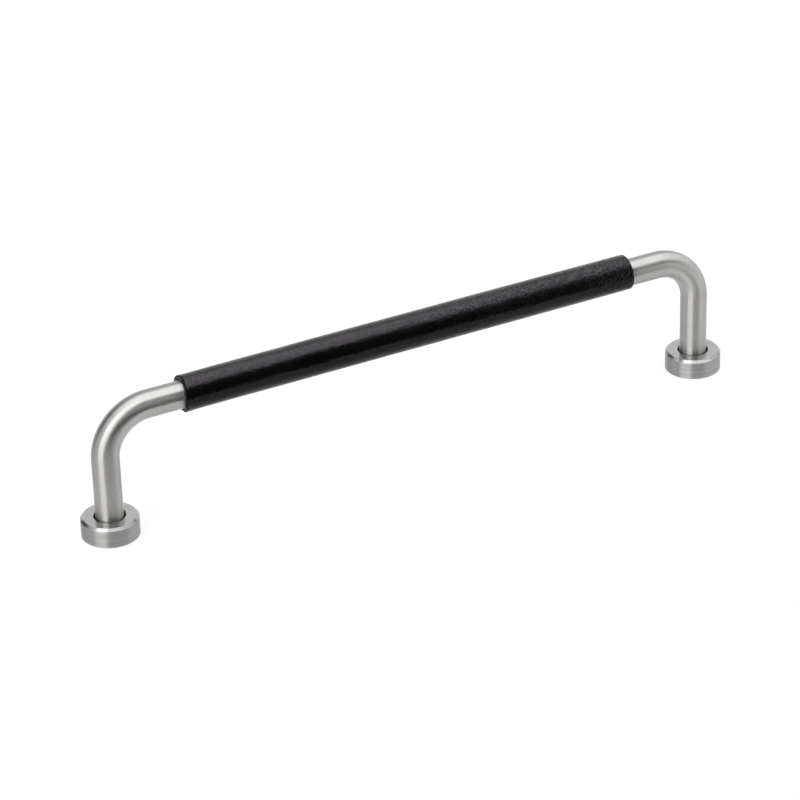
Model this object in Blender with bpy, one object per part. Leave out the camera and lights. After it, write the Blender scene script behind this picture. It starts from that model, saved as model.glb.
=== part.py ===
"""A pull handle for a door or a drawer: a bent steel rod, a leather sleeve and two turned collars.

The handle stands on the door's face, the plane z = 0. X runs along the grip, Y across it, and Z
from the door to the grip. The origin lies midway between the two feet. All sizes are in metres.
"""

import math

import bmesh
import bpy

# Rod. The hole spacing is measured between the two fixing screws.
HOLE_SPACING = 0.192
GRIP_HEIGHT = 0.0375
ROD_DIAMETER = 0.008
BEND_RADIUS = 0.0135
ROD_END_CHAMFER = 0.0003

# Collars. The rod's end stands in a recess in the top, over a floor that the screw passes through.
COLLAR_DIAMETER = 0.0166
COLLAR_HEIGHT = 0.006
COLLAR_FLOOR = 0.002
COLLAR_CHAMFER = 0.0007
COLLAR_EDGE_BREAK = 0.0002

# Fixing screw and the hole for it in the rod's end. The hole is as wide as the thread's groove.
SCREW_DIAMETER = 0.004
TAPPED_DEPTH = 0.012
COUNTERSINK = 0.0003
DRILL_POINT_ANGLE = math.radians(118)

# Leather sleeve. Some bare rod shows between each end of it and the bend.
LEATHER_THICKNESS = 0.00085
BARE_ROD_LENGTH = 0.0105
SEAM_GAP = 0.0003

# Clearances. A radial one is taken on each side.
ROD_SEAT_GAP = 0.0003
RECESS_RADIAL_CLEARANCE = 0.0005
SCREW_RADIAL_CLEARANCE = 0.00025
SLEEVE_RADIAL_CLEARANCE = 0.0003
CUTTER_OVERSHOOT = 0.001

# Fineness of the round shapes
ROD_SIDES = 48
BEND_STEPS = 18
COLLAR_SIDES = 72
HOLE_SIDES = 24
SLEEVE_STEPS = 60
SHARP_ANGLE = math.radians(25)
MERGE_DISTANCE = 1e-6

# Sizes and places that follow from the ones above
POST_X = HOLE_SPACING / 2
ROD_RADIUS = ROD_DIAMETER / 2
ROD_END_Z = COLLAR_FLOOR + ROD_SEAT_GAP
BEND_CENTRE_X = POST_X - BEND_RADIUS
BEND_CENTRE_Z = GRIP_HEIGHT - BEND_RADIUS
COLLAR_RADIUS = COLLAR_DIAMETER / 2
RECESS_RADIUS = ROD_RADIUS + RECESS_RADIAL_CLEARANCE
SCREW_RADIUS = SCREW_DIAMETER / 2
SCREW_HOLE_RADIUS = SCREW_RADIUS + SCREW_RADIAL_CLEARANCE
SLEEVE_HALF_LENGTH = BEND_CENTRE_X - BARE_ROD_LENGTH
SLEEVE_BORE_RADIUS = ROD_RADIUS + SLEEVE_RADIAL_CLEARANCE
SLEEVE_OUTER_RADIUS = SLEEVE_BORE_RADIUS + LEATHER_THICKNESS

X_AXIS = (1, 0, 0)
Y_AXIS = (0, 1, 0)
Z_AXIS = (0, 0, 1)
QUARTER_TURN = math.pi / 2


def clear_scene():
    """Takes every object out of the file, so that the handle stands alone."""
    for old in list(bpy.data.objects):
        bpy.data.objects.remove(old)


def make_material(name, colour, roughness, metallic):
    """A Principled material of one colour."""
    material = bpy.data.materials.new(name)
    material.use_nodes = True
    shader = material.node_tree.nodes["Principled BSDF"]
    shader.inputs["Base Color"].default_value = (*colour, 1)
    shader.inputs["Roughness"].default_value = roughness
    shader.inputs["Metallic"].default_value = metallic
    material.diffuse_color = (*colour, 1)
    return material


def brushed_steel():
    """Satin stainless steel, brushed along the rod."""
    return make_material("brushed_steel", (0.62, 0.61, 0.59), 0.32, 1)


def turned_steel():
    """Stainless steel as it comes off the lathe."""
    return make_material("turned_steel", (0.66, 0.65, 0.64), 0.28, 1)


def black_leather():
    """Dyed leather with a soft sheen."""
    return make_material("black_leather", (0.018, 0.017, 0.017), 0.45, 0)


def finished_mesh(bm, name, material=None):
    """Makes a mesh of a bmesh, with its faces pointing out and its round sides smooth."""
    bmesh.ops.recalc_face_normals(bm, faces=bm.faces)
    mesh = bpy.data.meshes.new(name)
    bm.to_mesh(mesh)
    bm.free()
    mesh.shade_smooth()
    mesh.set_sharp_from_angle(angle=SHARP_ANGLE)
    if material:
        mesh.materials.append(material)
    return mesh


def place(name, mesh, location, parent):
    """Puts an object with this mesh under its parent."""
    thing = bpy.data.objects.new(name, mesh)
    bpy.context.scene.collection.objects.link(thing)
    thing.location = location
    thing.parent = parent
    return thing


def with_rim(face):
    """A face with its edges and corners, which a solid needs to grow on from that face."""
    return [face, *face.edges, *face.verts]


def draw_straight(bm, face, offset):
    """Draws a face out by an offset, and returns the face at the far end."""
    made = bmesh.ops.extrude_face_region(bm, geom=with_rim(face))["geom"]
    corners = [part for part in made if isinstance(part, bmesh.types.BMVert)]
    bmesh.ops.translate(bm, verts=corners, vec=offset)
    return next(part for part in made if isinstance(part, bmesh.types.BMFace))


def draw_round(bm, face, centre, axis, angle, steps):
    """Draws a face round an axis, and returns the face at the far end of the turn."""
    made = bmesh.ops.spin(
        bm, geom=with_rim(face), cent=centre, axis=axis, angle=angle, steps=steps
    )["geom_last"]
    return next(part for part in made if isinstance(part, bmesh.types.BMFace))


def turned_mesh(name, profile, sides, material=None):
    """Turns a profile of (radius, z) points about Z. A profile that leaves the axis is closed."""
    bm = bmesh.new()
    corners = [bm.verts.new((radius, 0, z)) for radius, z in profile]
    pairs = list(zip(corners, corners[1:]))
    if profile[0][0] > 0:
        pairs.append((corners[-1], corners[0]))
    edges = [bm.edges.new(pair) for pair in pairs]
    bmesh.ops.spin(
        bm, geom=corners + edges, cent=(0, 0, 0), axis=Z_AXIS, angle=math.tau, steps=sides
    )
    bmesh.ops.remove_doubles(bm, verts=bm.verts, dist=MERGE_DISTANCE)
    return finished_mesh(bm, name, material)


def rod_mesh(material):
    """One length of rod, bent: up the left post, along the grip and down the right post."""
    post_length = BEND_CENTRE_Z - ROD_END_Z
    left_bend = (-BEND_CENTRE_X, 0, BEND_CENTRE_Z)
    right_bend = (BEND_CENTRE_X, 0, BEND_CENTRE_Z)
    bm = bmesh.new()
    ring = bmesh.ops.create_circle(bm, cap_ends=True, radius=ROD_RADIUS, segments=ROD_SIDES)
    bmesh.ops.translate(bm, verts=ring["verts"], vec=(-POST_X, 0, ROD_END_Z))
    bm.faces.ensure_lookup_table()
    face = draw_straight(bm, bm.faces[0], (0, 0, post_length))
    face = draw_round(bm, face, left_bend, Y_AXIS, QUARTER_TURN, BEND_STEPS)
    face = draw_straight(bm, face, (2 * BEND_CENTRE_X, 0, 0))
    face = draw_round(bm, face, right_bend, Y_AXIS, QUARTER_TURN, BEND_STEPS)
    draw_straight(bm, face, (0, 0, -post_length))
    chamfer_rod_ends(bm)
    return finished_mesh(bm, "steel_bar", material)


def chamfer_rod_ends(bm):
    """Breaks the edge round each end of the rod."""
    ends = [face for face in bm.faces if len(face.verts) == ROD_SIDES]
    edges = [edge for face in ends for edge in face.edges]
    bmesh.ops.bevel(bm, geom=edges, offset=ROD_END_CHAMFER, segments=1, affect="EDGES")


def tapped_hole_mesh():
    """What leaves the rod's end for the screw: a countersunk mouth, a bore and a drill's point."""
    mouth_radius = SCREW_RADIUS + COUNTERSINK + CUTTER_OVERSHOOT
    point_height = SCREW_RADIUS / math.tan(DRILL_POINT_ANGLE / 2)
    profile = [
        (0, -CUTTER_OVERSHOOT),
        (mouth_radius, -CUTTER_OVERSHOOT),
        (SCREW_RADIUS, COUNTERSINK),
        (SCREW_RADIUS, TAPPED_DEPTH),
        (0, TAPPED_DEPTH + point_height),
    ]
    return turned_mesh("tapped_hole", profile, HOLE_SIDES)


def collar_mesh(material):
    """A collar, turned: a chamfered rim, a recess for the rod's end and a drilled floor."""
    profile = [
        (SCREW_HOLE_RADIUS, 0),
        (COLLAR_RADIUS - COLLAR_EDGE_BREAK, 0),
        (COLLAR_RADIUS, COLLAR_EDGE_BREAK),
        (COLLAR_RADIUS, COLLAR_HEIGHT - COLLAR_CHAMFER),
        (COLLAR_RADIUS - COLLAR_CHAMFER, COLLAR_HEIGHT),
        (RECESS_RADIUS + COLLAR_EDGE_BREAK, COLLAR_HEIGHT),
        (RECESS_RADIUS, COLLAR_HEIGHT - COLLAR_EDGE_BREAK),
        (RECESS_RADIUS, COLLAR_FLOOR),
        (SCREW_HOLE_RADIUS, COLLAR_FLOOR),
    ]
    return turned_mesh("collar", profile, COLLAR_SIDES, material)


def sleeve_mesh(material):
    """One strip of leather rolled round the X axis, its two long edges meeting on the door's side."""
    seam_angle = SEAM_GAP / SLEEVE_BORE_RADIUS
    first_angle = seam_angle / 2 - QUARTER_TURN
    section = [
        (-SLEEVE_HALF_LENGTH, SLEEVE_BORE_RADIUS),
        (SLEEVE_HALF_LENGTH, SLEEVE_BORE_RADIUS),
        (SLEEVE_HALF_LENGTH, SLEEVE_OUTER_RADIUS),
        (-SLEEVE_HALF_LENGTH, SLEEVE_OUTER_RADIUS),
    ]
    bm = bmesh.new()
    corners = [
        bm.verts.new((x, radius * math.cos(first_angle), radius * math.sin(first_angle)))
        for x, radius in section
    ]
    cut_edge = bm.faces.new(corners)
    draw_round(bm, cut_edge, (0, 0, 0), X_AXIS, math.tau - seam_angle, SLEEVE_STEPS)
    return finished_mesh(bm, "leather_sleeve", material)


def drill_rod_end(rod, name, x, parent):
    """Cuts a tapped hole for the fixing screw up into one end of the rod."""
    cutter = place(name, tapped_hole_mesh(), (x, 0, ROD_END_Z), parent)
    cutter.hide_render = True
    cutter.display_type = "WIRE"
    cut = rod.modifiers.new(name, "BOOLEAN")
    cut.operation = "DIFFERENCE"
    cut.solver = "EXACT"
    cut.object = cutter


def build_handle():
    """Makes the four pieces and hangs them on one empty."""
    clear_scene()
    handle = place("pull_handle", None, (0, 0, 0), None)
    rod = place("steel_bar", rod_mesh(brushed_steel()), (0, 0, 0), handle)
    drill_rod_end(rod, "left_tapped_hole", -POST_X, handle)
    drill_rod_end(rod, "right_tapped_hole", POST_X, handle)
    place("leather_sleeve", sleeve_mesh(black_leather()), (0, 0, GRIP_HEIGHT), handle)
    collar = collar_mesh(turned_steel())
    place("left_collar", collar, (-POST_X, 0, 0), handle)
    place("right_collar", collar, (POST_X, 0, 0), handle)


build_handle()
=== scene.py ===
"""The looks of a pull handle: its steel and leather finishes, the wrapped leather, a studio and a camera.

All is in metres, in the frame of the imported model: X along the grip, Z up from the feet.
"""

import math
from collections import namedtuple

import bpy
from mathutils import Matrix, Vector, noise


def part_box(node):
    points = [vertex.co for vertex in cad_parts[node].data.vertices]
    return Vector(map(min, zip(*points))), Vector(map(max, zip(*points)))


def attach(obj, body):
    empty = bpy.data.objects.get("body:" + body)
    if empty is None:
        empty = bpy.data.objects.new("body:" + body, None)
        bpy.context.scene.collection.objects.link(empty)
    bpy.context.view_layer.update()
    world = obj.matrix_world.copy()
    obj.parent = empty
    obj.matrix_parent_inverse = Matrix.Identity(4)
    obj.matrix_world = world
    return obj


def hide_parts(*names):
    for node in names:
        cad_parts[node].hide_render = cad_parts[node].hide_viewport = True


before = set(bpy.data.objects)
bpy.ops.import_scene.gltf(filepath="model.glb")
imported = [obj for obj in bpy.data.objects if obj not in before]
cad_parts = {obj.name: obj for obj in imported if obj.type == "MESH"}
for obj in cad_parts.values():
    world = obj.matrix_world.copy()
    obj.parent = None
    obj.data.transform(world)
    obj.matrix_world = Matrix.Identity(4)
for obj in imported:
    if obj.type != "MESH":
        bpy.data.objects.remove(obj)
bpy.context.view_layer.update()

MM = 0.001

# Sizes of the solids, read from the frame, apart from those that no box shows
BAR_LOW, BAR_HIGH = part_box("steel_bar")
SLEEVE_LOW, SLEEVE_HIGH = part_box("leather_sleeve")
ROD_RADIUS = BAR_HIGH.y
GRIP_Z = BAR_HIGH.z - ROD_RADIUS
POST_X = BAR_HIGH.x - ROD_RADIUS
ROD_END_Z = BAR_LOW.z
BEND_RADIUS = 13.5 * MM
BEND_X = POST_X - BEND_RADIUS
BEND_Z = GRIP_Z - BEND_RADIUS
RECESS_RADIUS = 4.5 * MM

# Sockets of the node that mixes, which has two inputs for each kind of value
NUMBERS_IN = (2, 3)
COLOURS_IN = (6, 7)
COLOUR_OUT = 2


class Tree:
    """Adds and joins the nodes of a material, a world or a modifier."""

    def __init__(self, node_tree):
        self.nodes = node_tree.nodes
        self.links = node_tree.links
        self.nodes.clear()

    def feed(self, socket, value):
        """Joins a socket to another one, or sets its value."""
        if isinstance(value, bpy.types.NodeSocket):
            self.links.new(value, socket)
        else:
            socket.default_value = value

    def add(self, kind, feeds=None, **settings):
        """Adds a node, with its settings and with what goes into its sockets."""
        node = self.nodes.new(kind)
        for name, value in settings.items():
            setattr(node, name, value)
        for socket, value in (feeds or {}).items():
            self.feed(node.inputs[socket], value)
        return node

    def math(self, operation, *values):
        """One operation on numbers."""
        return self.add("ShaderNodeMath", dict(enumerate(values)), operation=operation).outputs[0]

    def plus(self, first, second):
        """One number added to another."""
        return self.math("ADD", first, second)

    def minus(self, first, second):
        """One number less another."""
        return self.math("SUBTRACT", first, second)

    def times(self, first, second):
        """One number times another."""
        return self.math("MULTIPLY", first, second)

    def vector(self, operation, *values):
        """One operation on vectors."""
        node = self.add("ShaderNodeVectorMath", dict(enumerate(values)), operation=operation)
        return node.outputs["Value" if operation == "LENGTH" else "Vector"]

    def split(self, vector):
        """The three numbers of a vector."""
        return self.add("ShaderNodeSeparateXYZ", {0: vector}).outputs

    def combine(self, x, y, z):
        """A vector of three numbers."""
        return self.add("ShaderNodeCombineXYZ", {"X": x, "Y": y, "Z": z}).outputs[0]

    def place(self):
        """Where a point is, as a vector and as its three numbers."""
        place = self.add("ShaderNodeTexCoord").outputs["Object"]
        return place, self.split(place)

    def normal(self):
        """Which way the surface faces."""
        return self.add("ShaderNodeNewGeometry").outputs["Normal"]

    def ramp(self, value, low, high, start=0.0, end=1.0):
        """Goes smoothly from start to end as the value goes from low to high."""
        feeds = {"Value": value, "From Min": low, "From Max": high, "To Min": start, "To Max": end}
        return self.add("ShaderNodeMapRange", feeds, interpolation_type="SMOOTHSTEP").outputs[0]

    def noise(self, vector, scale, detail=2.0, roughness=0.5):
        """Soft noise, mostly between 0.3 and 0.7."""
        feeds = {"Vector": vector, "Scale": scale, "Detail": detail, "Roughness": roughness}
        return self.add("ShaderNodeTexNoise", feeds).outputs[0]

    def edge_distance(self, vector, scale):
        """How far a point is from the edges between irregular cells, in cells."""
        feeds = {"Vector": vector, "Scale": scale}
        return self.add("ShaderNodeTexVoronoi", feeds, feature="DISTANCE_TO_EDGE").outputs[0]

    def mix(self, factor, first, second):
        """A colour between two colours."""
        feeds = {"Factor": factor, COLOURS_IN[0]: first, COLOURS_IN[1]: second}
        return self.add("ShaderNodeMix", feeds, data_type="RGBA").outputs[COLOUR_OUT]

    def blend(self, factor, first, second):
        """A number between two numbers."""
        feeds = {"Factor": factor, NUMBERS_IN[0]: first, NUMBERS_IN[1]: second}
        return self.add("ShaderNodeMix", feeds, data_type="FLOAT").outputs[0]

    def bump(self, height, distance):
        """A normal that follows a height, which is counted in a distance in metres."""
        return self.add("ShaderNodeBump", {"Height": height, "Distance": distance}).outputs[0]


def new_material(name):
    """A material and the tree to make it with."""
    material = bpy.data.materials.new(name)
    material.use_nodes = True
    return material, Tree(material.node_tree)


def finish_material(tree, feeds):
    """Ends a material in a Principled shader."""
    shader = tree.add("ShaderNodeBsdfPrincipled", feeds)
    tree.add("ShaderNodeOutputMaterial", {"Surface": shader.outputs[0]})


# A noise's scale is in cells per metre. A ramp is a value's two ends and its results there, or 0 and 1.

# Finish of the rod
ROD_DARK = (0.405, 0.4, 0.392, 1)
ROD_LIGHT = (0.475, 0.469, 0.459, 1)
ROD_STREAKS = {"scale": 1500, "detail": 3, "roughness": 0.6}
ROD_STREAK_STRETCH = (0.04, 1, 1)
ROD_SCRATCHES = {"scale": 3400, "detail": 2, "roughness": 0.6}
ROD_SCRATCH_STRETCH = (1, 0.08, 0.08)
ROD_SCRATCH_SHARE = 0.4
ROD_CLOUDS = {"scale": 110}
ROD_COLOUR_RAMP = (0.3, 0.7)
ROD_GRAIN_ROUGHNESS = (0.35, 0.65, -0.04, 0.04)
ROD_CLOUD_ROUGHNESS = (0.3, 0.7, 0.34, 0.38)
ROD_GRAIN_DEPTH = 0.003 * MM


def rod_frame(tree):
    """A point's place along the rod, across it and out from its bends, and the rod's direction there."""
    _, parts = tree.place()
    side = tree.math("SIGN", parts["X"])
    reach = tree.math("ABSOLUTE", parts["X"])
    height = tree.minus(parts["Z"], BEND_Z)
    over = tree.math("MAXIMUM", tree.minus(reach, BEND_X), 0.0)
    rise = tree.math("MAXIMUM", height, 0.0)
    grip = tree.math("MINIMUM", reach, BEND_X)
    bend = tree.times(tree.math("ARCTAN2", over, rise), BEND_RADIUS)
    post = tree.math("MINIMUM", height, 0.0)
    along = tree.minus(tree.plus(grip, bend), post)
    radius = tree.vector("LENGTH", tree.combine(over, rise, 0.0))
    place = tree.combine(tree.times(along, side), parts["Y"], radius)
    down = tree.times(tree.times(side, over), -1.0)
    return place, tree.vector("NORMALIZE", tree.combine(rise, 0.0, down))


def rod_steel():
    """Satin steel, brushed along the rod and through its bends, with finer marks across the brushing."""
    material, tree = new_material("rod_steel")
    rod_place, direction = rod_frame(tree)
    streaks = tree.noise(tree.vector("MULTIPLY", rod_place, ROD_STREAK_STRETCH), **ROD_STREAKS)
    scratches = tree.noise(tree.vector("MULTIPLY", rod_place, ROD_SCRATCH_STRETCH), **ROD_SCRATCHES)
    grain = tree.blend(ROD_SCRATCH_SHARE, streaks, scratches)
    clouds = tree.noise(tree.place()[0], **ROD_CLOUDS)
    base = tree.ramp(clouds, *ROD_CLOUD_ROUGHNESS)
    finish_material(tree, {
        "Base Color": tree.mix(tree.ramp(grain, *ROD_COLOUR_RAMP), ROD_DARK, ROD_LIGHT),
        "Metallic": 1.0,
        "Roughness": tree.plus(base, tree.ramp(grain, *ROD_GRAIN_ROUGHNESS)),
        "Anisotropic": 1.0,
        "Tangent": direction,
        "Normal": tree.bump(grain, ROD_GRAIN_DEPTH),
    })
    return material


# Finish of the collars
# Painted shade: the sides' colours are darker than the top's, standing in for the darker floor that the
# turned sides mirror.
COLLAR_SHADED_SIDE_DARK = (0.33, 0.326, 0.322, 1)
COLLAR_SHADED_SIDE_LIGHT = (0.41, 0.405, 0.4, 1)
COLLAR_TOP_DARK = (0.43, 0.425, 0.42, 1)
COLLAR_TOP_LIGHT = (0.47, 0.465, 0.46, 1)
# Painted shade: a near-black colour on the steel in the recess round the rod.
COLLAR_RECESS_PAINTED_SHADE = (0.06, 0.06, 0.06, 1)
COLLAR_LINES = {"scale": 1400, "detail": 1}
COLLAR_FINE_LINES = {"scale": 3600, "detail": 3, "roughness": 0.6}
COLLAR_FINE_SHARE = 0.5
COLLAR_STRETCH = (0.03, 0.03, 0)
COLLAR_CLOUDS = {"scale": 160}
COLLAR_COLOUR_RAMP = (0.35, 0.65)
COLLAR_UPWARD_RAMP = (0.2, 0.6)
COLLAR_RECESS_RAMP = (RECESS_RADIUS, RECESS_RADIUS + 0.1 * MM, 1.0, 0.0)
COLLAR_RECESS_HEIGHTS = (1.0 * MM, 1.5 * MM)
COLLAR_LINE_ROUGHNESS = (0.35, 0.65, -0.03, 0.03)
COLLAR_CLOUD_ROUGHNESS = (0.3, 0.7, -0.02, 0.02)
COLLAR_SIDE_ROUGHNESS = 0.38
COLLAR_TOP_ROUGHNESS = 0.22
COLLAR_LINE_DEPTH = 0.004 * MM


def collar_steel():
    """Turned steel, with fine lines round the collar's axis, painted shade on its sides, which are darker
    than its top, and painted shade in the recess round the rod.
    """
    material, tree = new_material("collar_steel")
    place, parts = tree.place()
    post = tree.times(tree.math("SIGN", parts["X"]), POST_X)
    arm = tree.combine(tree.minus(parts["X"], post), parts["Y"], 0.0)
    radius = tree.vector("LENGTH", arm)
    normal = tree.normal()
    round_axis = tree.vector("CROSS_PRODUCT", (0, 0, 1), arm)
    direction = tree.vector("NORMALIZE", tree.vector("CROSS_PRODUCT", round_axis, normal))

    stretched = tree.vector("MULTIPLY", arm, COLLAR_STRETCH)
    turned = tree.vector("ADD", tree.combine(radius, 0.0, parts["Z"]), stretched)
    coarse, fine = tree.noise(turned, **COLLAR_LINES), tree.noise(turned, **COLLAR_FINE_LINES)
    lines = tree.blend(COLLAR_FINE_SHARE, coarse, fine)
    clouds = tree.noise(place, **COLLAR_CLOUDS)

    light = tree.ramp(lines, *COLLAR_COLOUR_RAMP)
    # Painted shade: where the surface faces less upward, the sides take darker colours than the top.
    side = tree.mix(light, COLLAR_SHADED_SIDE_DARK, COLLAR_SHADED_SIDE_LIGHT)
    top = tree.mix(light, COLLAR_TOP_DARK, COLLAR_TOP_LIGHT)
    upward = tree.ramp(tree.split(normal)["Z"], *COLLAR_UPWARD_RAMP)
    # Painted shade in the recess round the rod, which darkens the colour there.
    inner = tree.ramp(radius, *COLLAR_RECESS_RAMP)
    recess_shade = tree.times(inner, tree.ramp(parts["Z"], *COLLAR_RECESS_HEIGHTS))
    marks = tree.ramp(lines, *COLLAR_LINE_ROUGHNESS)
    uneven = tree.plus(marks, tree.ramp(clouds, *COLLAR_CLOUD_ROUGHNESS))
    base = tree.blend(upward, COLLAR_SIDE_ROUGHNESS, COLLAR_TOP_ROUGHNESS)
    finish_material(tree, {
        "Base Color": tree.mix(recess_shade, tree.mix(upward, side, top), COLLAR_RECESS_PAINTED_SHADE),
        "Metallic": 1.0,
        "Roughness": tree.plus(base, uneven),
        "Anisotropic": 1.0,
        "Tangent": direction,
        "Normal": tree.bump(lines, COLLAR_LINE_DEPTH),
    })
    return material


# Finish of the threads
CUT_STEEL_DARK = (0.34, 0.335, 0.33, 1)
CUT_STEEL_LIGHT = (0.46, 0.455, 0.45, 1)
CUT_STEEL_GRAIN = {"scale": 3000}
CUT_STEEL_ROUGHNESS = (0.2, 0.8, 0.25, 0.4)
CUT_STEEL_DEPTH = 0.01 * MM


def thread_steel():
    """Freshly cut steel inside the tapped holes."""
    material, tree = new_material("thread_steel")
    grain = tree.noise(tree.place()[0], **CUT_STEEL_GRAIN)
    finish_material(tree, {
        "Base Color": tree.mix(grain, CUT_STEEL_DARK, CUT_STEEL_LIGHT),
        "Metallic": 1.0,
        "Roughness": tree.ramp(grain, *CUT_STEEL_ROUGHNESS),
        "Normal": tree.bump(grain, CUT_STEEL_DEPTH),
    })
    return material


# Finish of the leather's outside. Depths are in millimetres. The grain is calmer on the left and below.
LEATHER_DARK = (0.0016, 0.0014, 0.0017, 1)
LEATHER_LIGHT = (0.0032, 0.0028, 0.0034, 1)
LEATHER_PEBBLES = {"scale": 1400, "detail": 2, "roughness": 0.6}
LEATHER_PEBBLE_RAMP = (0.35, 0.65)
LEATHER_PEBBLE_DEPTH = 0.034
LEATHER_PORE_SCALE = 3400
LEATHER_PORE_RAMP = (0.0, 0.3)
LEATHER_PORE_DEPTH = 0.006
LEATHER_CLOUDS = {"scale": 95, "detail": 3}
LEATHER_CLOUD_DEPTH = 0.42
LEATHER_CLOUD_ROUGHNESS = (0.3, 0.7, 0.16, 0.21)
LEATHER_PATCHES = {"scale": 60}
LEATHER_PATCH_GRAIN = (0.35, 0.6, 0.35, 1.0)
LEATHER_GRAIN_BY_X = (-40 * MM, 70 * MM, 0.6, 1.0)
LEATHER_GRAIN_BY_UPWARD = (-0.2, 0.35, 0.6, 1.0)
LEATHER_SHEEN_CALM = 0.35
LEATHER_SHEEN_BY_PEBBLE = (0.0, 1.0, 0.18, 0.44)
LEATHER_SHEEN_BY_UPWARD = (-0.1, 0.35, 0.45, 1.0)
LEATHER_SHEEN_TINT = (0.98, 0.925, 1.0, 1)
END_PAINT_RAMP = (0.3 * MM, 0.5 * MM, 1.0, 0.0)
END_PAINT_ROUGHNESS = 0.6
END_PAINT_SHEEN = 0.08
FROM_LEFT_END = "from_left_end"


def black_leather():
    """Black dyed leather: creases and pores over the mesh's pebbles, and matt paint along its left end."""
    material, tree = new_material("black_leather")
    place, parts = tree.place()
    pebbles = tree.ramp(tree.noise(place, **LEATHER_PEBBLES), *LEATHER_PEBBLE_RAMP)
    pores = tree.ramp(tree.edge_distance(place, LEATHER_PORE_SCALE), *LEATHER_PORE_RAMP)
    clouds = tree.noise(place, **LEATHER_CLOUDS)
    patches = tree.ramp(tree.noise(place, **LEATHER_PATCHES), *LEATHER_PATCH_GRAIN)
    upward = tree.split(tree.normal())["Z"]

    coarse = tree.times(patches, tree.ramp(parts["X"], *LEATHER_GRAIN_BY_X))
    coarse = tree.times(coarse, tree.ramp(upward, *LEATHER_GRAIN_BY_UPWARD))
    grain = tree.plus(tree.times(pebbles, LEATHER_PEBBLE_DEPTH), tree.times(pores, LEATHER_PORE_DEPTH))
    height = tree.plus(tree.times(grain, coarse), tree.times(clouds, LEATHER_CLOUD_DEPTH))
    pebble_sheen = tree.ramp(pebbles, *LEATHER_SHEEN_BY_PEBBLE)
    sheen = tree.blend(coarse, LEATHER_SHEEN_CALM, pebble_sheen)
    sheen = tree.times(sheen, tree.ramp(upward, *LEATHER_SHEEN_BY_UPWARD))
    roughness = tree.ramp(clouds, *LEATHER_CLOUD_ROUGHNESS)
    from_end = tree.add("ShaderNodeAttribute", attribute_name=FROM_LEFT_END).outputs["Fac"]
    painted = tree.ramp(from_end, *END_PAINT_RAMP)
    finish_material(tree, {
        "Base Color": tree.mix(clouds, LEATHER_DARK, LEATHER_LIGHT),
        "Roughness": tree.blend(painted, roughness, END_PAINT_ROUGHNESS),
        "Specular IOR Level": tree.blend(painted, sheen, END_PAINT_SHEEN),
        "Specular Tint": LEATHER_SHEEN_TINT,
        "Normal": tree.bump(height, MM),
    })
    return material


# Shading of the solids: which edges stay sharp, and how close together corners are joined
SHARP_ANGLE = math.radians(25)
MERGE_DISTANCE = 0.001 * MM


def smooth_shading():
    """A modifier's nodes, which join the split corners of a solid and shade its round sides smooth."""
    group = bpy.data.node_groups.new("smooth_shading", "GeometryNodeTree")
    for way in ("INPUT", "OUTPUT"):
        group.interface.new_socket("Geometry", in_out=way, socket_type="NodeSocketGeometry")
    tree = Tree(group)
    solid = tree.add("NodeGroupInput").outputs[0]
    feeds = {"Geometry": solid, "Name": "custom_normal"}
    solid = tree.add("GeometryNodeRemoveAttribute", feeds).outputs[0]
    feeds = {"Geometry": solid, "Distance": MERGE_DISTANCE}
    solid = tree.add("GeometryNodeMergeByDistance", feeds).outputs[0]
    solid = tree.add("GeometryNodeSetShadeSmooth", {"Geometry": solid}, domain="FACE").outputs[0]
    angle = tree.add("GeometryNodeInputMeshEdgeAngle").outputs["Unsigned Angle"]
    sharp = tree.math("GREATER_THAN", angle, SHARP_ANGLE)
    feeds = {"Geometry": solid, "Selection": sharp, "Shade Smooth": False}
    solid = tree.add("GeometryNodeSetShadeSmooth", feeds, domain="EDGE").outputs[0]
    tree.add("NodeGroupOutput", {0: solid})
    return group


def dress_solid(name, material, group):
    """Gives a solid of the frame its finish."""
    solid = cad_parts[name]
    for slot in solid.material_slots:
        slot.material = material
    solid.modifiers.new("smooth_shading", "NODES").node_group = group


def add_piece(name, vertices, faces, materials):
    """A smooth piece that rides on the handle. Returns its object."""
    mesh = bpy.data.meshes.new(name)
    mesh.from_pydata(vertices, [], faces)
    for material in materials:
        mesh.materials.append(material)
    mesh.shade_smooth()
    piece = bpy.data.objects.new(name, mesh)
    bpy.context.scene.collection.objects.link(piece)
    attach(piece, "root")
    return piece


# Leather sleeve. Its angles are counted round the grip from the seam, which faces the door.
SLEEVE_RADIUS = SLEEVE_HIGH.y
SLEEVE_BORE_RADIUS = 4.15 * MM
SLEEVE_END_ROUNDING = 0.14 * MM
SLEEVE_ROUNDING_STEPS = 4
SLEEVE_EDGE_STEPS = 4
SLEEVE_BORE_STEPS = 24
SLEEVE_LIFT_LEFT = 0.12 * MM
SLEEVE_LIFT_RIGHT = 0.45 * MM
GRAIN_STEP = 0.26 * MM
PEBBLE_SIZE = 1.0 * MM
PEBBLE_DEPTH = 0.03 * MM
PEBBLE_CREASE = 0.4
PEBBLE_TOP = 0.8
PEBBLE_TOP_VARIES = 0.4
PEBBLE_TOP_VARIES_OVER = 3 * PEBBLE_SIZE
PEBBLE_MIDDLE = 0.5
WAVE_LENGTH = 9 * MM
WAVE_DEPTH = 0.03 * MM
SEAM_DEPTH = 0.4 * MM
SEAM_HALF_WIDTH = 0.3 * MM
SEAM_LINES = (0, 0.1, 0.25, 0.45, 0.7, 1)
SEAM_WANDER = 0.15 * MM
RAGGED_LEFT = 0.2 * MM
RAGGED_RIGHT = 0.05 * MM
RAGGED_REACH = 1.2 * MM
RAGGED_SIZE = 0.9 * MM
SLANT_LEFT = 0.9 * MM
SLANT_REACH = 5 * MM
SWELL_ENDS = 0.17 * MM
SWELL_MIDDLE = 0.28 * MM
FLARE_LEFT = 0.12 * MM
FLARE_REACH = 4 * MM
SKIN, CUT = 0, 1

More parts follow.
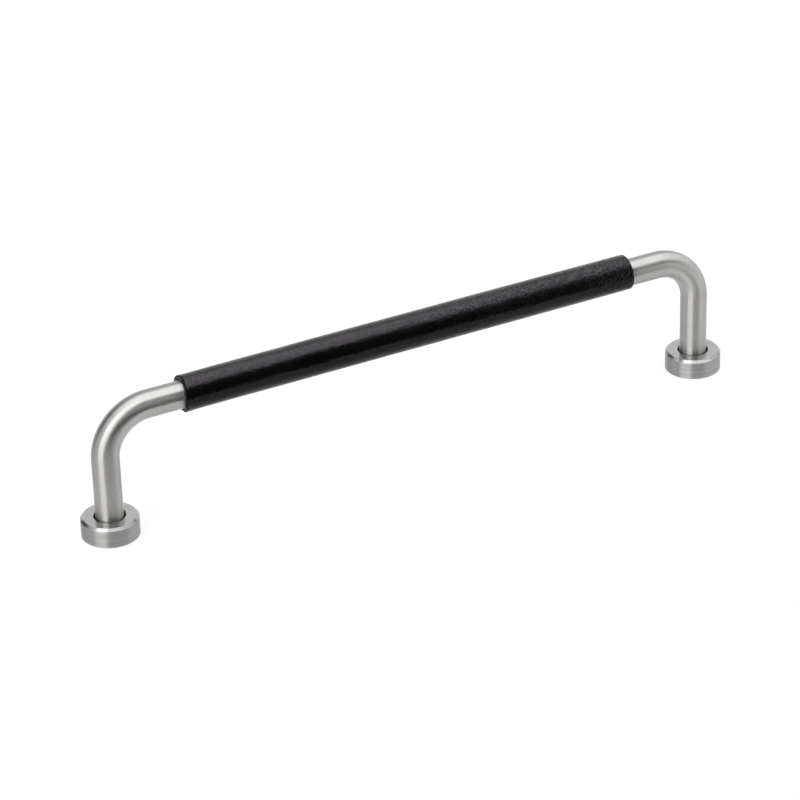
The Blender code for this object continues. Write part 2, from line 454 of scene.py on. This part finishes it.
# Finish of the leather's cut edge, whose fibres show round a radius between the bore and the outside
FIBRE_RADIUS = SLEEVE_BORE_RADIUS + 0.6 * (SLEEVE_RADIUS - SLEEVE_BORE_RADIUS)
FIBRE_RAMP = (0.1 * MM, 0.3 * MM, 1.0, 0.0)
FIBRES = {"scale": 1700, "detail": 3, "roughness": 0.7}
FIBRE_SHOWN_RAMP = (0.48, 0.6)
FIBRE_ROUGHNESS = (0.0, 1.0, 0.6, 0.95)
FIBRE_DEPTH = 0.08 * MM
EDGE_DYE_COLOUR = (0.006, 0.006, 0.006, 1)
FIBRE_COLOUR = (0.24, 0.23, 0.225, 1)
EDGE_SHEEN = 0.12


def cut_leather():
    """The cut edge of the leather: dyed black at its corners, with grey fibres between them."""
    material, tree = new_material("cut_leather")
    place, parts = tree.place()
    radius = tree.vector("LENGTH", tree.combine(0.0, parts["Y"], tree.minus(parts["Z"], GRIP_Z)))
    off_middle = tree.math("ABSOLUTE", tree.minus(radius, FIBRE_RADIUS))
    fibres = tree.noise(place, **FIBRES)
    shown = tree.times(tree.ramp(off_middle, *FIBRE_RAMP), tree.ramp(fibres, *FIBRE_SHOWN_RAMP))
    finish_material(tree, {
        "Base Color": tree.mix(shown, EDGE_DYE_COLOUR, FIBRE_COLOUR),
        "Roughness": tree.ramp(shown, *FIBRE_ROUGHNESS),
        "Specular IOR Level": EDGE_SHEEN,
        "Normal": tree.bump(fibres, FIBRE_DEPTH),
    })
    return material


def fade(distance, reach):
    """1 at a place, and evenly less further off, down to 0 at the reach."""
    return max(0.0, 1 - distance / reach)


def pebble_height(place):
    """The height of the leather's grain at a point: 0 in the creases, about 1 on the pebbles."""
    distances, _ = noise.voronoi(place / PEBBLE_SIZE)
    crease = min(1.0, (distances[1] - distances[0]) / PEBBLE_CREASE)
    top = PEBBLE_TOP + PEBBLE_TOP_VARIES * noise.noise(place / PEBBLE_TOP_VARIES_OVER)
    return math.sqrt(crease) * top


def seam_depth(angle):
    """How deep the surface dips where the leather's two rounded edges meet."""
    near = fade(min(angle, math.tau - angle) * SLEEVE_RADIUS, SEAM_HALF_WIDTH)
    return SEAM_DEPTH * (1 - math.sqrt(1 - near * near))


def sleeve_point(x, radius, angle):
    """A point of the sleeve, moved by the grain, the seam, the ragged ends and how the leather lies."""
    outward = (radius - SLEEVE_BORE_RADIUS) / (SLEEVE_RADIUS - SLEEVE_BORE_RADIUS)
    from_left, from_right = x - SLEEVE_LOW.x, SLEEVE_HIGH.x - x
    share = from_left / (SLEEVE_HIGH.x - SLEEVE_LOW.x)
    wander = SEAM_WANDER / SLEEVE_RADIUS * noise.noise(Vector((x / WAVE_LENGTH, 0, 0)))
    turned = angle + wander * math.cos(angle / 2) ** 2
    arm = Vector((0, math.sin(turned), -math.cos(turned)))
    place = Vector((x, 0, 0)) + arm * radius

    ragged = RAGGED_LEFT if from_left < from_right else RAGGED_RIGHT
    ragged *= fade(min(from_left, from_right), RAGGED_REACH)
    slant = SLANT_LEFT * max(0.0, -arm.y) ** 2 * fade(from_left, SLANT_REACH)
    shift = ragged * noise.noise(place / RAGGED_SIZE) - slant

    upper = (1 + arm.z) / 2
    waves = WAVE_DEPTH * noise.noise(place / WAVE_LENGTH)
    grain = PEBBLE_DEPTH * (pebble_height(place) - PEBBLE_MIDDLE) + waves
    swell = upper * (SWELL_ENDS + (SWELL_MIDDLE - SWELL_ENDS) * math.sin(math.pi * share))
    flare = (1 - upper) * FLARE_LEFT * fade(from_left, FLARE_REACH)
    lift = SLEEVE_LIFT_LEFT + (SLEEVE_LIFT_RIGHT - SLEEVE_LIFT_LEFT) * share
    place += arm * outward ** 2 * (grain + swell + flare - seam_depth(angle))
    return place + Vector((shift, 0, GRIP_Z + outward * lift))


def between(low, high, steps):
    """The places that part a stretch into even steps, without its two ends."""
    return [low + (high - low) * step / steps for step in range(1, steps)]


def sleeve_angles():
    """The angles of the mesh's lines along the sleeve, which lie closer together at the seam."""
    close = [share * SEAM_HALF_WIDTH / SLEEVE_RADIUS for share in SEAM_LINES]
    start, end = close[-1], math.tau - close[-1]
    steps = round((end - start) * SLEEVE_RADIUS / GRAIN_STEP)
    return close + between(start, end, steps) + [math.tau - angle for angle in reversed(close[1:])]


def sleeve_outline():
    """The section of the sleeve's wall, as (x, radius) points and the finish that follows each one."""
    low, high = SLEEVE_LOW.x, SLEEVE_HIGH.x
    edge_radius = SLEEVE_RADIUS - SLEEVE_END_ROUNDING
    cut = [SLEEVE_BORE_RADIUS] + between(SLEEVE_BORE_RADIUS, edge_radius, SLEEVE_EDGE_STEPS)
    corner = []
    for step in range(SLEEVE_ROUNDING_STEPS + 1):
        angle = step / SLEEVE_ROUNDING_STEPS * math.pi / 2
        inset = SLEEVE_END_ROUNDING * (1 - math.sin(angle))
        corner.append((inset, edge_radius + SLEEVE_END_ROUNDING * math.cos(angle)))
    start, end = low + SLEEVE_END_ROUNDING, high - SLEEVE_END_ROUNDING
    outside = between(start, end, round((end - start) / GRAIN_STEP))
    inside = between(low, high, SLEEVE_BORE_STEPS)

    outline = [(low, radius, CUT) for radius in cut]
    outline += [(low + inset, radius, SKIN) for inset, radius in reversed(corner)]
    outline += [(x, SLEEVE_RADIUS, SKIN) for x in outside]
    outline += [(high - inset, radius, SKIN) for inset, radius in corner[:-1]]
    outline += [(high, radius, CUT) for radius in [edge_radius] + cut[::-1]]
    outline += [(x, SLEEVE_BORE_RADIUS, CUT) for x in reversed(inside)]
    return outline


def leather_sleeve():
    """The leather, wrapped round the grip and glued, with its two long edges meeting on the door's side."""
    angles, outline = sleeve_angles(), sleeve_outline()
    around, along = len(angles), len(outline)
    vertices = [sleeve_point(x, radius, angle) for x, radius, _ in outline for angle in angles]
    faces, finishes = [], []
    for ring in range(along):
        start, end = ring * around, (ring + 1) % along * around
        for line in range(around):
            after = (line + 1) % around
            faces.append((start + line, start + after, end + after, end + line))
            finishes.append(outline[ring][2])
    materials = [black_leather(), cut_leather()]
    piece = add_piece("wrapped_leather", vertices, faces, materials)
    piece.data.polygons.foreach_set("material_index", finishes)
    from_end = [x - SLEEVE_LOW.x for x, _, _ in outline for _ in angles]
    piece.data.attributes.new(FROM_LEFT_END, "FLOAT", "POINT").data.foreach_set("value", from_end)
    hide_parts("leather_sleeve")


# Threads of the tapped holes, for an M4 screw
THREAD_RADIUS = 2.0 * MM
THREAD_CREST_RADIUS = 1.621 * MM
THREAD_PITCH = 0.7 * MM
THREAD_CREST_WIDTH = 0.175 * MM
THREAD_ROOT_WIDTH = 0.6 * MM
THREAD_DEPTH = 10 * MM
THREAD_START = 0.6 * MM
THREAD_SIDES = 32


def thread(name, x, material):
    """The ridge of a thread, a helix up the wall of a tapped hole."""
    section = [
        (THREAD_RADIUS, -THREAD_ROOT_WIDTH / 2),
        (THREAD_CREST_RADIUS, -THREAD_CREST_WIDTH / 2),
        (THREAD_CREST_RADIUS, THREAD_CREST_WIDTH / 2),
        (THREAD_RADIUS, THREAD_ROOT_WIDTH / 2),
    ]
    steps = round(THREAD_DEPTH / THREAD_PITCH * THREAD_SIDES)
    corners = len(section)
    vertices, faces = [], []
    for step in range(steps + 1):
        angle = math.tau * step / THREAD_SIDES
        height = ROD_END_Z + THREAD_START + THREAD_PITCH * step / THREAD_SIDES
        for radius, offset in section:
            vertices.append((x + radius * math.cos(angle), radius * math.sin(angle), height + offset))
    for step in range(steps):
        start, end = step * corners, (step + 1) * corners
        for corner in range(corners):
            after = (corner + 1) % corners
            faces.append((start + corner, start + after, end + after, end + corner))
    faces.append(tuple(reversed(range(corners))))
    faces.append(tuple(range(steps * corners, (steps + 1) * corners)))
    piece = add_piece(name, vertices, faces, [material])
    piece.data.set_sharp_from_angle(angle=SHARP_ANGLE)


# Studio. Radiances are those that a white surface has where a colour renders as it is written.
FLOOR_REACH = 3
FLOOR_FRONT = -110 * MM
FLOOR_Z = -0.05 * MM
FLOOR_COLOUR = (0.95, 0.95, 0.95, 1)
FLOOR_GLOW_SHARE = 0.82
BACKGROUND_RADIANCE = 1.0
ROOM_RADIANCE = 0.6
WHITE = (1, 1, 1, 1)

# What stands round the handle. Angles are in degrees: azimuth 0 is in front and 90 on the right.
Patch = namedtuple("Patch", "left right bottom top soft radiance")
ROOM = {
    "soft box above": Patch(-200, 200, 53, 100, 6, 2.3),
    "brighter right part of it": Patch(25, 150, 54, 80, 6, 2.8),
    "grey wall on the left": Patch(-200, -20, -20, 52, 6, 0.6),
    "grey wall in front on the right": Patch(30, 108, -20, 52, 6, 0.6),
    "dark corner behind on the left": Patch(-161, -126, -20, 38, 4, 0.05),
    "dark front": Patch(-30, 42, -100, 51.5, 8, 0.0),
    "strip light on the left": Patch(-84, -40, -20, 70, 3, 2.8),
    "soft box on the right": Patch(52, 95, -20, 52, 10, 1.0),
}

# A small lamp close to the right bend, which the camera doesn't see
LAMP_PLACE = Vector((130 * MM, -60 * MM, 38 * MM))
LAMP_AIM = Vector((90 * MM, 0, 36 * MM))
LAMP_WIDTH = 40 * MM
LAMP_HEIGHT = 56 * MM
LAMP_RADIANCE = 1.1

# Camera, fitted to the outline of the handle in a picture of 800 by 800 pixels. Its angles are in degrees.
CAMERA_AZIMUTH = -27.57
CAMERA_ELEVATION = 28.59
CAMERA_ROLL = -1.65
CAMERA_DISTANCE = 1.0153
CAMERA_AIM = Vector((-3.74 * MM, 0, 16.49 * MM))
FOCAL_PIXELS = 3528
FRAME_PIXELS = 800
SENSOR_WIDTH_MM = 36


def seen_directly(tree):
    """1 for what the camera sees, straight or in a mirror or a glass, and 0 for what only gives light."""
    ray = tree.add("ShaderNodeLightPath").outputs
    seen = tree.math("MAXIMUM", ray["Is Camera Ray"], ray["Is Glossy Ray"])
    return tree.math("MAXIMUM", seen, ray["Is Transmission Ray"])


def add_floor():
    """A white floor, which shows a soft shadow and lets views from below through."""
    material, tree = new_material("floor")
    share = tree.times(seen_directly(tree), FLOOR_GLOW_SHARE)
    white = tree.add("ShaderNodeBsdfDiffuse", {"Color": FLOOR_COLOUR}).outputs[0]
    glow = tree.add("ShaderNodeEmission").outputs[0]
    top = tree.add("ShaderNodeMixShader", {0: share, 1: white, 2: glow}).outputs[0]
    below = tree.add("ShaderNodeNewGeometry").outputs["Backfacing"]
    clear = tree.add("ShaderNodeBsdfTransparent").outputs[0]
    both = tree.add("ShaderNodeMixShader", {0: below, 1: top, 2: clear}).outputs[0]
    tree.add("ShaderNodeOutputMaterial", {"Surface": both})
    mesh = bpy.data.meshes.new("floor")
    left, right, front, back = -FLOOR_REACH, FLOOR_REACH, FLOOR_FRONT, FLOOR_REACH
    corners = [(left, front), (right, front), (right, back), (left, back)]
    mesh.from_pydata([(x, y, FLOOR_Z) for x, y in corners], [], [(0, 1, 2, 3)])
    mesh.materials.append(material)
    floor = bpy.data.objects.new("floor", mesh)
    bpy.context.scene.collection.objects.link(floor)


def within(tree, value, low, high, soft):
    """1 where a value lies between two others, with soft edges."""
    risen = tree.ramp(value, low - soft, low + soft)
    fallen = tree.ramp(value, high - soft, high + soft, 1.0, 0.0)
    return tree.times(risen, fallen)


def add_world():
    """The room round the handle, by direction, in front of a white background. The camera sees that alone."""
    world = bpy.data.worlds.new("studio")
    bpy.context.scene.world = world
    world.use_nodes = True
    tree = Tree(world.node_tree)
    parts = tree.split(tree.add("ShaderNodeTexCoord").outputs["Generated"])
    forward = tree.times(parts["Y"], -1.0)
    azimuth = tree.math("DEGREES", tree.math("ARCTAN2", parts["X"], forward))
    elevation = tree.math("DEGREES", tree.math("ARCSINE", parts["Z"]))
    radiance = tree.blend(seen_directly(tree), ROOM_RADIANCE, BACKGROUND_RADIANCE)
    for patch in ROOM.values():
        across = within(tree, azimuth, patch.left, patch.right, patch.soft)
        up = within(tree, elevation, patch.bottom, patch.top, patch.soft)
        radiance = tree.blend(tree.times(across, up), radiance, patch.radiance)
    camera = tree.add("ShaderNodeLightPath").outputs["Is Camera Ray"]
    feeds = {"Color": WHITE, "Strength": tree.blend(camera, radiance, BACKGROUND_RADIANCE)}
    room = tree.add("ShaderNodeBackground", feeds).outputs[0]
    tree.add("ShaderNodeOutputWorld", {"Surface": room})


def add_lamp():
    """The small lamp by the right bend, which fills the dark band that the rod has elsewhere."""
    lamp = bpy.data.lights.new("fill light", "AREA")
    lamp.shape = "RECTANGLE"
    lamp.size = LAMP_WIDTH
    lamp.size_y = LAMP_HEIGHT
    lamp.energy = LAMP_RADIANCE * math.pi * LAMP_WIDTH * LAMP_HEIGHT
    holder = bpy.data.objects.new("fill light", lamp)
    bpy.context.scene.collection.objects.link(holder)
    holder.visible_camera = False
    turn = (LAMP_AIM - LAMP_PLACE).to_track_quat("-Z", "Y").to_matrix().to_4x4()
    holder.matrix_world = Matrix.Translation(LAMP_PLACE) @ turn


def add_camera():
    """The camera, at the fitted place and turned by its roll. At azimuth 0 it would stand in front."""
    camera = bpy.data.cameras.new("camera")
    camera.sensor_width = SENSOR_WIDTH_MM
    camera.lens = FOCAL_PIXELS / FRAME_PIXELS * SENSOR_WIDTH_MM
    holder = bpy.data.objects.new("camera", camera)
    bpy.context.scene.collection.objects.link(holder)
    azimuth, elevation = math.radians(CAMERA_AZIMUTH), math.radians(CAMERA_ELEVATION)
    roll = math.radians(CAMERA_ROLL)
    outward = Vector((math.sin(azimuth), -math.cos(azimuth), 0))
    back = outward * math.cos(elevation) + Vector((0, 0, math.sin(elevation)))
    right = Vector((0, 0, 1)).cross(back).normalized()
    up = back.cross(right)
    turned_right = right * math.cos(roll) + up * math.sin(roll)
    turned_up = up * math.cos(roll) - right * math.sin(roll)
    turn = Matrix((turned_right, turned_up, back)).transposed().to_4x4()
    holder.matrix_world = Matrix.Translation(CAMERA_AIM + back * CAMERA_DISTANCE) @ turn
    bpy.context.scene.camera = holder


def build_scene():
    """Dresses the solids, adds the leather and the threads, and sets up the studio."""
    group = smooth_shading()
    dress_solid("steel_bar", rod_steel(), group)
    turned = collar_steel()
    dress_solid("left_collar", turned, group)
    dress_solid("right_collar", turned, group)
    leather_sleeve()
    cut = thread_steel()
    thread("left_thread", -POST_X, cut)
    thread("right_thread", POST_X, cut)
    add_floor()
    add_world()
    add_lamp()
    add_camera()
    bpy.context.scene.view_settings.view_transform = "Standard"


build_scene()
